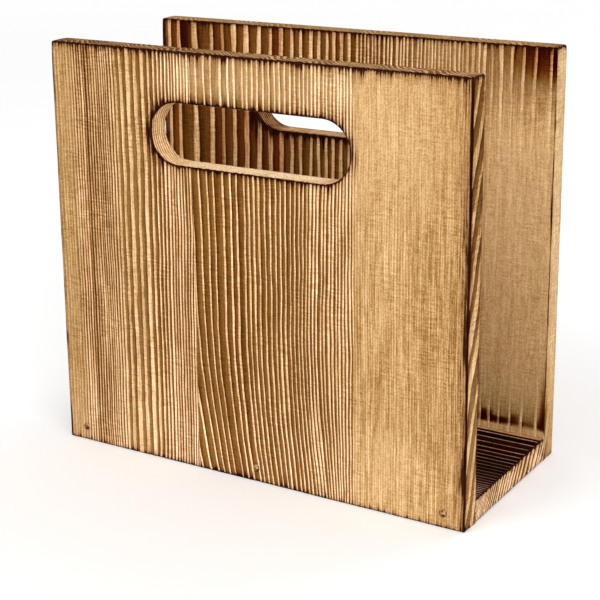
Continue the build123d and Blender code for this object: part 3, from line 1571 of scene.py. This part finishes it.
@dataclass
class Upright:
    """One of the two upright boards, with its finger slot and the pockets of its nails.

    near_slot is how near the slot a narrow face counts as the slot's wall. The inner face within
    joint_depth of the arris and below joint_height met the base, and no flame reached it. The top
    edge is darker by up to top_dusk at its left end.
    """

    node: str
    nails: tuple[str, ...]
    grain: Union[FrontGrain, BackGrain]
    near_face: FaceLook
    far_face: FaceLook
    side_look: FaceLook
    top_tone: Tone
    slot_tone: Tone
    slot_end_tone: Tone
    nails_on_far_face: bool
    burn: Burn
    slot_length: float = 73.0
    slot_height: float = 20.0
    slot_below_top: float = 16.5
    slot_mouth_radius: float = 0.45
    slot_block: tuple[float, float] = (46.0, 16.0)
    slot_layers: int = 8
    near_slot: float = 1.5
    slot_burn: float = 1.3
    slot_wall_burn: float = 0.4
    eased_edge: float = 0.5
    worn_corner: float = 0.5
    nail_hole_clearance: float = 0.02
    nail_hole_eased: float = 0.16
    nail_block: tuple[float, float] = (3.1, 3.1)
    nail_layers: int = 4
    nail_burn: float = 0.14
    joint_height: tuple[float, float] = (8.0, 9.5)
    joint_depth: tuple[float, float] = (2.0, 4.0)
    joint_distance: float = 4.0
    relief_depth: float = 0.13
    relief_gaps: tuple[float, float] = (1.5, 2.4)
    cut_share: float = 0.45
    top_dusk: float = 0.0
    dusk_reach: float = 130.0
    axis_seam: float = 0.05
    column_step: float = 0.44
    row_step: float = 1.8
    depth_step: float = 0.85

    def __post_init__(self) -> None:
        """Reads the board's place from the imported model."""
        self.low, self.high = box_mm(self.node)
        self.thickness = self.high[1] - self.low[1]
        self.slot_along = self.high[2] - self.slot_below_top - self.slot_height / 2.0

    def finger_slot(self) -> Hole:
        """The finger slot."""
        radius = self.slot_height / 2.0
        return Hole(
            across=0.0,
            along=self.slot_along,
            half_straight=self.slot_length / 2.0 - radius,
            radius=radius,
            half_block=self.slot_block,
            eased=self.slot_mouth_radius,
            layers=self.slot_layers,
        )

    def nail_pockets(self) -> tuple[Hole, ...]:
        """The pocket round each nail's head."""
        pockets = []
        for nail in self.nails:
            low, high = box_mm(nail)
            pockets.append(
                Hole(
                    across=0.5 * (low[0] + high[0]),
                    along=0.5 * (low[2] + high[2]),
                    half_straight=0.0,
                    radius=0.5 * (high[0] - low[0]) + self.nail_hole_clearance,
                    half_block=self.nail_block,
                    eased=self.nail_hole_eased,
                    layers=self.nail_layers,
                )
            )
        return tuple(pockets)

    def wear(self, marks: np.ndarray) -> np.ndarray:
        """How much rounder than usual the edges are: slow waves, worn upper corners, square at the base.

        Args:
            marks: Places as across, along and through.

        Returns:
            A factor on the edge's radius.
        """
        across, along, depth = marks[..., 0], marks[..., 1], marks[..., 2]
        waves = 0.16 * np.sin(across / 6.1 + depth) + 0.16 * np.sin(along / 7.3 + 0.8 * depth)
        waves = waves + 0.1 * np.sin(across / 2.3 + along / 2.9)
        corner = np.hypot(self.high[0] - np.abs(across), self.high[2] - along)
        worn = self.worn_corner * np.exp(-((corner / 3.0) ** 2))
        inner = depth if self.nails_on_far_face else self.thickness - depth
        at_base = np.exp(-((along / 2.0) ** 2)) * np.exp(-((inner / 3.0) ** 2))
        return (1.0 + waves + worn) * (1.0 - 0.93 * at_base)

    def shape(self) -> BoardShape:
        """The board's shape: its box with the slot and the pockets, and a seam beside the grain's axis.

        Returns:
            The shape.
        """
        seams = ()
        if self.grain.axis is not None:
            middle = self.low[0] + self.grain.axis
            seams = (middle - self.axis_seam, middle + self.axis_seam)
        return BoardShape(
            low=(self.low[0], self.low[2], 0.0),
            high=(self.high[0], self.high[2], self.thickness),
            eased=(self.eased_edge,) * 3,
            column_step=self.column_step,
            row_step=self.row_step,
            depth_step=self.depth_step,
            seams=seams,
            through=(self.finger_slot(),),
            pockets=self.nail_pockets(),
            pockets_on_far_face=self.nails_on_far_face,
            easing=self.wear,
        )

    def top_look(self, across: np.ndarray) -> Look:
        """The top edge's look: its tone, with a tint that falls towards the left end.

        Args:
            across: Distance from the board's left end.

        Returns:
            The look.
        """
        look = self.top_tone.over(across)
        look.tint = look.tint - self.top_dusk * (1.0 - smooth_step(0.0, self.dusk_reach, across))
        return look

    def burnt_distance(self, marks: np.ndarray, shape: BoardShape, to_slot: np.ndarray) -> np.ndarray:
        """Distance to the nearest burnt edge, where 1 is the edge of its burnt band.

        The slot's band is wider round the slot's left end. The distance grows by joint_distance where
        the board met the base.

        Args:
            marks: Places on the board's box, as across, along and through.
            shape: The board's shape.
            to_slot: Distance from the slot's wall, on the wide faces.

        Returns:
            The distances.
        """
        near, far = marks[:, 2], self.thickness - marks[:, 2]
        outer, inner = (far, near) if self.nails_on_far_face else (near, far)
        slot_width = self.slot_burn * (1.0 + 0.9 * bell(marks[:, 0], -0.5 * self.slot_length, 6.0))
        distances = [
            self.burn.distance(marks, np.array(shape.low), np.array(shape.high)),
            np.hypot(np.maximum(to_slot, 0.0) / slot_width, np.minimum(near, far) / self.slot_wall_burn),
        ]
        for pocket in shape.pockets:
            _, _, to_nail = pocket.rays(marks[:, 0], marks[:, 1])
            distances.append(np.hypot(np.maximum(to_nail, 0.0), outer) / self.nail_burn)
        at_joint = 1.0 - smooth_step(*self.joint_height, marks[:, 1])
        at_joint = at_joint * (1.0 - smooth_step(*self.joint_depth, inner))
        return np.minimum.reduce(distances) + self.joint_distance * at_joint

    def make(self, finish: bpy.types.Material) -> bpy.types.Object:
        """Builds and dresses the board.

        Args:
            finish: The board's finish.

        Returns:
            The finished piece.
        """
        shape = self.shape()
        marks, places, faces = shape.build()
        corners = np.stack([places[:, 0], self.low[1] + places[:, 2], places[:, 1]], axis=-1)
        piece = board_mesh(self.node + "_wood", corners * MM, faces)

        across, along, depth = places[:, 0] - self.low[0], places[:, 1], places[:, 2]
        rings = self.grain.rings(across, along, depth)
        normals = vertex_normals(piece.data)
        worn = brushed_depth(np.abs(normals[:, 1]), rings, self.relief_depth, self.relief_gaps)
        if self.grain.axis is not None:
            worn = worn * smooth_step(0.3, 1.6, np.abs(across - self.grain.axis))
        press(piece.data, corners, normals, worn)

        slot = shape.through[0]
        _, _, to_slot = slot.rays(places[:, 0], places[:, 1])
        at_end = smooth_step(-2.0, 2.0, np.abs(places[:, 0]) - slot.half_straight)
        by_slot = to_slot < self.near_slot
        near = smooth_step(*FACING, -normals[:, 1])
        far = smooth_step(*FACING, normals[:, 1])
        rest = 1.0 - near - far
        in_slot = rest * by_slot
        top = rest * smooth_step(0.5, 0.9, normals[:, 2]) * ~by_slot
        side = rest - in_slot - top
        look = Look.blend([
            (near, self.near_face(across, along)),
            (far, self.far_face(across, along)),
            (in_slot * (1.0 - at_end), self.slot_tone.over(across)),
            (in_slot * at_end, self.slot_end_tone.over(across)),
            (top, self.top_look(across)),
            (side, self.side_look(along, depth)),
        ])

        count = rings.count
        middle_count = np.round(rings.count.mean())
        for part, cut in ((side, SIDE_GRAIN), (top, TOP_GRAIN), (in_slot, SLOT_GRAIN)):
            count = np.where(part > 0.5, middle_count + cut.count(across, along, depth), count)
        share = np.where(rest > 0.5, self.cut_share, self.grain.line_share(across, rings.gap))
        dress(piece, finish, count, share, look, self.burnt_distance(marks, shape, to_slot))
        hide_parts(self.node)
        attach(piece, "root")
        return piece


def front_outside(across: np.ndarray, along: np.ndarray) -> Look:
    """How the flame marked the front board's outer face.

    The wood right of 113.8 is pale and even, and a strip at the left end is lighter than the middle.
    Bands along the grain are lighter or darker than the rest, each by a bell curve across, and some
    of them only at one height.

    Args:
        across: Distance from the left end.
        along: Height above the table.

    Returns:
        The face's look.
    """
    pale = smooth_step(113.2, 114.6, across)
    fringe = 1.0 - smooth_step(6.0, 10.5, across)
    below_top = BOARD_TOP - along
    above_slot = smooth_step(122.0, 130.0, along) * smooth_step(34.0, 54.0, across) * (1.0 - pale)
    scorch = (
        1.0
        - 0.86 * pale
        - 0.62 * fringe
        - 0.38 * above_slot
        + 0.35 * bell(across, 15.5, 6.0)
        - 0.18 * bell(across, 31.0, 7.0)
        + 0.20 * bell(across, 49.0, 6.0)
    )
    tint = (
        # near the top
        0.20 * above_slot
        - 0.12 * np.exp(-below_top / 3.5)
        - 0.10 * bell(across, 14.0, 9.0) * np.exp(-below_top / 14.0)
        # the two ends and the foot
        - 0.12 * fringe
        - 0.20 * smooth_step(134.0, 152.0, across)
        + 0.10 * (1.0 - smooth_step(5.0, 32.0, along))
        + 0.06 * bell(along, 14.0, 12.0)
        # the pale wood
        - 0.09 * pale * (1.0 - smooth_step(85.0, 120.0, along))
        + 0.08 * bell(across, 125.0, 14.0) * smooth_step(70.0, 125.0, along)
        - 0.06 * bell(across, 131.0, 10.0) * bell(along, 62.0, 26.0)
        # bands over the whole height
        - 0.20 * bell(across, 15.0, 7.0)
        - 0.02 * bell(across, 31.0, 8.0)
        - 0.11 * bell(across, 31.0, 6.0)
        + 0.13 * bell(across, 44.0, 6.0)
        - 0.08 * bell(across, 48.0, 7.0)
        + 0.07 * bell(across, 55.0, 6.0)
        # bands over a part of the height
        - 0.05 * bell(across, 15.0, 4.0) * smooth_step(25.0, 45.0, along)
        + 0.18 * bell(across, 62.0, 11.0) * (1.0 - smooth_step(10.0, 26.0, along))
        - 0.10 * bell(across, 76.0, 18.0) * bell(along, 45.0, 42.0)
        + 0.08 * bell(across, 114.0, 9.0) * bell(along, 20.0, 12.0)
    )
    clear = 1.0 - 0.4 * fringe - 0.5 * pale * smooth_step(85.0, 112.0, along)
    return Look(scorch, tint, clear)


def front_inside(across: np.ndarray, along: np.ndarray) -> Look:
    """How the flame marked the front board's inner face: a little darker than outside, in slow waves.

    Args:
        across: Distance from the left end.
        along: Height above the table.

    Returns:
        The face's look.
    """
    scorch = 1.1 + 0.2 * np.sin(across / 21.0 + 0.6) * np.cos(along / 34.0)
    tint = -0.05 + 0.05 * np.sin(along / 27.0 + across / 40.0) - 0.2 * np.exp(-(BOARD_TOP - along) / 3.0)
    return Look(scorch, tint, np.ones_like(across))


def back_inside(across: np.ndarray, along: np.ndarray) -> Look:
    """How the flame marked the back board's inner face.

    The left half is charred between its light lines. The right end is tan, with lines that fade
    below the top, burnt blotches just above a bare strip along the base, and a burnt top corner.
    Between them the wood is browner round 76, most of all near the top, and lighter round 46.

    Args:
        across: Distance from the left end, seen from the front.
        along: Height above the table.

    Returns:
        The face's look.
    """
    left = 1.0 - smooth_step(46.0, 74.0, across)
    black_band = bell(across, 10.0, 2.2) * smooth_step(114.0, 130.0, along)
    right = smooth_step(124.0, 131.0, across)
    low = 1.0 - smooth_step(30.0, 80.0, along)
    tan_strip = 1.0 - smooth_step(9.9, 10.8, along)
    blotch_top = 12.4 + 0.5 * np.sin(across / 1.7)
    blotch = smooth_step(10.0, 10.6, along) * (1.0 - smooth_step(blotch_top, blotch_top + 1.2, along))
    blotch = blotch * (1.0 - 0.85 * smooth_step(130.0, 146.0, across))
    brown = np.exp(-np.maximum(along - 13.0, 0.0) / 6.0)
    corner = smooth_step(132.0, 151.0, across) * smooth_step(124.0, 139.0, along)
    arris = smooth_step(149.5, 152.0, across) * (1.0 - smooth_step(14.0, 40.0, along))
    top = smooth_step(106.0, 139.0, along)
    reddest = bell(across, 38.0, 9.0) * (1.0 - smooth_step(116.0, 126.0, along))
    fine = smooth_step(94.0, 112.0, across)
    browner = bell(across, 76.0, 16.0) * (0.14 + 0.14 * smooth_step(120.0, 134.0, along))

    main_scorch = 0.95 - 0.35 * fine + 0.4 * left + 0.35 * reddest + browner + 1.3 * black_band
    right_scorch = 0.12 + 0.6 * top + 0.65 * brown
    scorch = (1.0 - right) * main_scorch + right * right_scorch
    scorch = scorch + 2.6 * blotch + 1.4 * corner + 1.2 * arris
    scorch = scorch * (1.0 - tan_strip) + 0.05 * tan_strip

    tint = (
        right * (0.12 - 0.08 * low - 0.36 * top)
        - 0.03 * (1.0 - right) * fine
        - 0.08 * left
        + 0.15 * tan_strip
        - 0.05 * bell(across, 18.0, 8.0)
        + 0.11 * bell(across, 46.0, 16.0)
        - 0.03 * bell(across, 78.0, 12.0)
    )
    fade = 0.25 + 0.75 * smooth_step(85.0, 132.0, along) + 0.75 * (1.0 - smooth_step(13.0, 22.0, along))
    return Look(scorch, tint, 1.0 - right * (1.0 - fade))


def back_outside(across: np.ndarray, along: np.ndarray) -> Look:
    """How the flame marked the back board's outer face: brushed brown, with lighter and darker clouds.

    Args:
        across: Distance from the left end, seen from the front.
        along: Height above the table.

    Returns:
        The face's look.
    """
    scorch = 1.0 + 0.12 * np.sin(across / 19.0 + 2.0) * np.cos(along / 41.0 + 0.5)
    tint = (
        0.05 * np.sin(across / 33.0 + along / 50.0 + 1.0)
        + 0.08 * (1.0 - smooth_step(4.0, 30.0, along))
        - 0.2 * np.exp(-(BOARD_TOP - along) / 3.0)
    )
    return Look(scorch, tint, np.ones_like(across))


def streaked_side(along: np.ndarray, depth: np.ndarray) -> Look:
    """The front board's narrow sides: streaked grey brown, lighter in the lower half.

    Args:
        along: Height above the table.
        depth: Depth through the board from the front.

    Returns:
        The side's look.
    """
    upper = smooth_step(40.0, 90.0, along)
    return Look(0.75 + 0.2 * upper, -0.12 - 0.14 * upper - 0.01 * depth, np.full_like(along, 0.9))


def bare_side(along: np.ndarray, depth: np.ndarray) -> Look:
    """The back board's narrow sides: bare light wood, browner towards the base and the front arris.

    Args:
        along: Height above the table.
        depth: Depth through the board from the front.

    Returns:
        The side's look.
    """
    low = 1.0 - smooth_step(8.0, 40.0, along)
    scorch = -0.8 + 1.3 * low * (1.0 - smooth_step(1.0, 5.0, depth)) + 0.5 * low
    return Look(scorch, -0.1 - 0.1 * low, np.full_like(along, 0.5))


SOOTY_CHARRED: tuple[tuple[float, Colour], ...] = (
    (0.00, (40, 4, 0)), (0.40, (62, 14, 4)), (0.62, (70, 18, 6)), (0.70, (50, 10, 2)),
    (0.76, (182, 146, 128)), (0.84, (224, 190, 172)), (0.94, (232, 200, 184)), (0.985, (120, 76, 60)),
    (1.00, (28, 0, 0)),
)
"""The charred run of the base, whose light lines are greyer and pinker than the uprights'."""


@dataclass
class Base:
    """The base board between the uprights, with only its open ends eased."""

    node: str = "base_board"
    eased_edge: float = 0.7
    relief_depth: float = 0.12
    relief_gaps: tuple[float, float] = (1.4, 2.2)
    burn: Burn = Burn(left=0.02, right=0.02, bottom=0.7, top=0.7, wall=0.8, corner=0.02)
    under_tone: Tone = Tone(0.9, 0.0)
    end_tone: Tone = Tone(1.15, 0.04)
    end_share: float = 0.62
    column_step: float = 0.33
    row_step: float = 2.6
    depth_step: float = 0.7

    @staticmethod
    def top_look(across: np.ndarray, along: np.ndarray, width: float, length: float) -> Look:
        """The base's top: black in the middle, dark red brown near the uprights, bare at the back.

        Soot hides the light lines near the open ends.

        Args:
            across: Distance from the front edge.
            along: Distance from the left end.
            width: The board's width.
            length: The board's length.

        Returns:
            The top's look.
        """
        black = bell(across, 0.5 * width, 9.0)
        bare = smooth_step(width - 2.1, width - 1.5, across)
        to_end = np.minimum(along, length - along)
        sooty = bell(across, 20.0, 14.0) * (1.0 - smooth_step(7.0, 22.0, to_end))
        scorch = (2.75 + 0.4 * black) * (1.0 - bare) + 0.1 * bare
        tint = 0.02 - 0.22 * black + 0.10 * bare
        return Look(scorch, tint, 0.95 - 0.8 * sooty)

    def make(self, finish: bpy.types.Material) -> bpy.types.Object:
        """Builds and dresses the board. Across is Y, along is X, and depth is counted from the top.

        Args:
            finish: The board's finish.

        Returns:
            The finished piece.
        """
        low, high = box_mm(self.node)
        shape = BoardShape(
            low=(low[1], low[0], 0.0),
            high=(high[1], high[0], high[2] - low[2]),
            eased=(0.0, self.eased_edge, self.eased_edge),
            column_step=self.column_step,
            row_step=self.row_step,
            depth_step=self.depth_step,
        )
        marks, places, faces = shape.build()
        corners = np.stack([places[:, 1], places[:, 0], high[2] - places[:, 2]], axis=-1)
        piece = board_mesh(self.node + "_wood", corners * MM, faces)

        across = places[:, 0] - low[1]
        along = places[:, 1] - low[0]
        grain = BaseGrain()
        rings = grain.rings(across, along, places[:, 2])
        normals = vertex_normals(piece.data)
        worn = brushed_depth(np.abs(normals[:, 2]), rings, self.relief_depth, self.relief_gaps)
        press(piece.data, corners, normals, worn)

        upward = smooth_step(*FACING, normals[:, 2])
        downward = smooth_step(*FACING, -normals[:, 2])
        end = np.clip(1.0 - upward - downward, 0.0, 1.0)
        look = Look.blend([
            (upward, self.top_look(across, along, high[1] - low[1], high[0] - low[0])),
            (downward, self.under_tone.over(across)),
            (end, self.end_tone.over(across)),
        ])
        share = np.where(end > 0.5, self.end_share, grain.line_share(rings.gap))
        rim = self.burn.distance(marks, np.array(shape.low), np.array(shape.high))
        dress(piece, finish, rings.count, share, look, rim)
        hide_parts(self.node)
        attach(piece, "root")
        return piece


@dataclass
class Nails:
    """The six finishing nails, whose CAD nodes show in their pockets."""

    nodes: tuple[str, ...]

    def make(self, finish: bpy.types.Material) -> None:
        """Gives each nail its finish.

        Args:
            finish: The nails' finish.
        """
        for name in self.nodes:
            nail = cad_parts[name]
            for place in nail.material_slots:
                place.material = finish
            if not nail.material_slots:
                nail.data.materials.append(finish)
            LOG.info("%s: finished", name)


# --- the studio --------------------------------------------------------------------------------------


@dataclass
class Studio:
    """The camera at the photograph's viewing angle, the pale floor and the plain soft light."""

    azimuth: float = 31.19
    elevation: float = 15.78
    roll: float = -0.55
    distance_m: float = 0.5168
    target_m: tuple[float, float, float] = (-0.00231, 0.0, 0.07315)
    lens: float = 92.63
    shift: tuple[float, float] = (0.0, -0.1)
    floor_rings_m: tuple[float, ...] = (0.3, 1.0, 2.0, 3.0)
    floor_parts: int = 48
    floor_fade_m: tuple[float, float] = (0.35, 1.4)
    world_strength: float = 0.62
    lamp_size_m: float = 0.9
    lamps: tuple[tuple[str, tuple[float, float, float], float], ...] = (
        ("key_lamp", (-0.55, -1.15, 1.15), 8.5),
        ("fill_lamp", (1.05, -0.85, 0.75), 9.0),
        ("rear_lamp", (0.4, 1.2, 1.1), 6.0),
    )

    def camera(self) -> None:
        """Places the camera at a distance from its target, turned by azimuth, elevation and roll."""
        turn, tip, roll = (math.radians(angle) for angle in (self.azimuth, self.elevation, self.roll))
        back = Vector((math.sin(turn) * math.cos(tip), -math.cos(turn) * math.cos(tip), math.sin(tip)))
        right = (-back).cross(Vector((0.0, 0.0, 1.0))).normalized()
        up = right.cross(-back)
        rolled_right = math.cos(roll) * right + math.sin(roll) * up
        rolled_up = math.cos(roll) * up - math.sin(roll) * right
        data = bpy.data.cameras.new("camera")
        data.sensor_width = 36.0
        data.lens = self.lens
        data.shift_x, data.shift_y = self.shift
        data.clip_start = 0.01
        camera = bpy.data.objects.new("camera", data)
        pose = Matrix((rolled_right, rolled_up, back)).transposed().to_4x4()
        pose.translation = Vector(self.target_m) + self.distance_m * back
        camera.matrix_world = pose
        bpy.context.scene.collection.objects.link(camera)
        bpy.context.scene.camera = camera

    def floor(self) -> None:
        """A round floor that fades out towards its rim into the white background."""
        angles = np.linspace(0.0, 2.0 * math.pi, self.floor_parts + 1)[:-1]
        circle = np.stack([np.cos(angles), np.sin(angles), np.zeros_like(angles)], axis=-1)
        spots = np.concatenate([radius * circle for radius in self.floor_rings_m])
        turn = np.arange(self.floor_parts)
        after = np.roll(turn, -1)
        quads = np.stack([turn, after, after + self.floor_parts, turn + self.floor_parts], axis=1)
        faces = [turn.tolist()]
        for ring in range(len(self.floor_rings_m) - 1):
            faces += (quads + ring * self.floor_parts).tolist()
        mesh = bpy.data.meshes.new("floor")
        mesh.from_pydata(spots.tolist(), [], faces)
        mesh.materials.append(self.floor_finish())
        floor = bpy.data.objects.new("floor", mesh)
        bpy.context.scene.collection.objects.link(floor)

    def floor_finish(self) -> bpy.types.Material:
        """The floor's finish: pale grey, lifted a little where it is seen, and clear far out.

        Returns:
            The material.
        """
        material = bpy.data.materials.new("pale_floor")
        desk = Desk(material)
        distance = desk.node("ShaderNodeVectorMath", operation="LENGTH")
        desk.feed(distance.inputs[0], desk.node("ShaderNodeTexCoord").outputs["Object"])
        plain = desk.node("ShaderNodeBsdfDiffuse")
        plain.inputs["Color"].default_value = (0.92, 0.92, 0.92, 1.0)
        lift = desk.node("ShaderNodeEmission")
        lift.inputs["Strength"].default_value = 0.12
        lifted = desk.node("ShaderNodeAddShader")
        desk.feed(lifted.inputs[0], plain.outputs[0])
        desk.feed(lifted.inputs[1], lift.outputs[0])
        shown = desk.either(desk.seen_directly(), plain.outputs[0], lifted.outputs[0])
        faded = desk.soft(distance.outputs["Value"], *self.floor_fade_m)
        ended = desk.either(faded, shown, desk.node("ShaderNodeBsdfTransparent").outputs[0])
        desk.feed(desk.node("ShaderNodeOutputMaterial").inputs["Surface"], ended)
        return material

    def world(self) -> None:
        """A world that lights softly from all round, and shows as plain white behind the object."""
        world = bpy.data.worlds.new("studio")
        bpy.context.scene.world = world
        desk = Desk(world)
        lights = []
        for strength in (self.world_strength, 1.0):
            light = desk.node("ShaderNodeBackground")
            light.inputs["Color"].default_value = (1.0, 1.0, 1.0, 1.0)
            light.inputs["Strength"].default_value = strength
            lights.append(light.outputs[0])
        shown = desk.either(desk.seen_directly(), *lights)
        desk.feed(desk.node("ShaderNodeOutputWorld").inputs["Surface"], shown)

    def lamp(self, name: str, place_m: tuple[float, float, float], power: float) -> None:
        """A square soft lamp that shines on the middle of the holder.

        Args:
            name: The lamp's name.
            place_m: Where it hangs.
            power: Its power in watts.
        """
        data = bpy.data.lights.new(name, "AREA")
        data.shape = "SQUARE"
        data.size = self.lamp_size_m
        data.energy = power
        lamp = bpy.data.objects.new(name, data)
        lamp.location = place_m
        way = Vector(self.target_m) - Vector(place_m)
        lamp.rotation_euler = way.to_track_quat("-Z", "Y").to_euler()
        bpy.context.scene.collection.objects.link(lamp)

    def make(self) -> None:
        """Sets up the camera, world, lamps and floor."""
        bpy.context.scene.view_settings.view_transform = "Standard"
        self.camera()
        self.world()
        for name, place_m, power in self.lamps:
            self.lamp(name, place_m, power)
        self.floor()
        LOG.info("studio: camera, lamps and floor")


def main() -> None:
    """Builds the studio and the holder's pieces in order."""
    logging.basicConfig(level=logging.INFO, format="%(name)s: %(message)s")
    Studio().make()
    sides = ("left", "middle", "right")
    front_nails = tuple(f"front_nail_{side}" for side in sides)
    back_nails = tuple(f"back_nail_{side}" for side in sides)
    front = Upright(
        node="front_board",
        nails=front_nails,
        grain=FrontGrain(),
        near_face=front_outside,
        far_face=front_inside,
        side_look=streaked_side,
        top_tone=Tone(1.05, -0.02, 0.5),
        slot_tone=Tone(-0.85, 0.0),
        slot_end_tone=Tone(0.5, 0.18),
        nails_on_far_face=False,
        burn=Burn(
            left=0.7,
            right=1.75,
            bottom=0.72,
            top=1.55,
            wall=0.65,
            corner=1.0,
            swell=0.45,
            swell_place=66.0,
            swell_width=45.0,
        ),
        top_dusk=0.33,
    )
    front.make(ScorchedWood("scorched_front_wood", Grain.UPWARDS, 1.0).make())
    back = Upright(
        node="back_board",
        nails=back_nails,
        grain=BackGrain(),
        near_face=back_inside,
        far_face=back_outside,
        side_look=bare_side,
        top_tone=Tone(0.85, -0.1, 0.35),
        slot_tone=Tone(0.3, -0.1),
        slot_end_tone=Tone(1.3, -0.28),
        nails_on_far_face=True,
        burn=Burn(left=1.2, right=0.28, bottom=0.45, top=1.2, wall=0.4, corner=1.0),
        slot_burn=2.6,
        slot_wall_burn=1.0,
    )
    back.make(ScorchedWood("scorched_back_wood", Grain.UPWARDS, 20.0).make())
    base_wood = ScorchedWood(
        "scorched_base_wood", Grain.LENGTHWISE, 40.0, charred=SOOTY_CHARRED, soot=(16, 2, 2)
    )
    Base().make(base_wood.make())
    Nails(front_nails + back_nails).make(NailSteel().make())
    LOG.info("sizes written")


if __name__ == "__main__":
    main()
